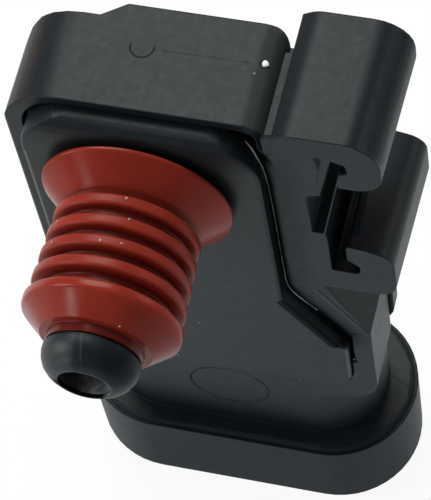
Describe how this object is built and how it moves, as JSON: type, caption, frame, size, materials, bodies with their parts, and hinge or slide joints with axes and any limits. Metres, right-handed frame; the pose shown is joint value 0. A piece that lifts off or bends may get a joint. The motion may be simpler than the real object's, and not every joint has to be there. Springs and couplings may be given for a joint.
{
  "type": "manifold absolute pressure sensor",
  "caption": "Black moulded intake pressure sensor with a bored nozzle in a ribbed red silicone seal, side retaining hooks and an oval plug shroud",
  "frame": {"origin": "on the plane of the connector shroud's open rim, under the middle of the bounding box", "axes": "+Z from the open rim of the connector shroud to the closed end wall; the port nozzle points along -Y; the two retaining hooks are on the +X side"},
  "size_m": [0.0364, 0.0362, 0.0716],
  "materials": {
    "moulded_black": "fine-grained moulded, dull sheen",
    "adhesive_dark": "cured bead, dull",
    "silicone_red": "satin",
    "tinned_copper": "tinned",
    "substrate_ceramic": "matt",
    "gel_ring_white": "matt",
    "silicon_grey": "polished",
    "component_tan": "matt"
  },
  "bodies": {
    "root": {"housing": "moulded_black", "port_cover": "moulded_black", "cover_adhesive": "adhesive_dark", "port_seal": "silicone_red", "terminal_1": "tinned_copper", "terminal_2": "tinned_copper", "terminal_3": "tinned_copper", "bond_strap_1": "tinned_copper", "bond_strap_2": "tinned_copper", "bond_strap_3": "tinned_copper", "substrate_adhesive": "adhesive_dark", "circuit_substrate": "substrate_ceramic", "die_pedestal": "gel_ring_white", "pressure_die": "silicon_grey", "gel_dam": "gel_ring_white", "signal_chip": "moulded_black", "capacitor_1": "component_tan", "capacitor_2": "component_tan", "capacitor_3": "component_tan", "resistor_1": "moulded_black", "resistor_2": "moulded_black"}
  },
  "joints": []
}
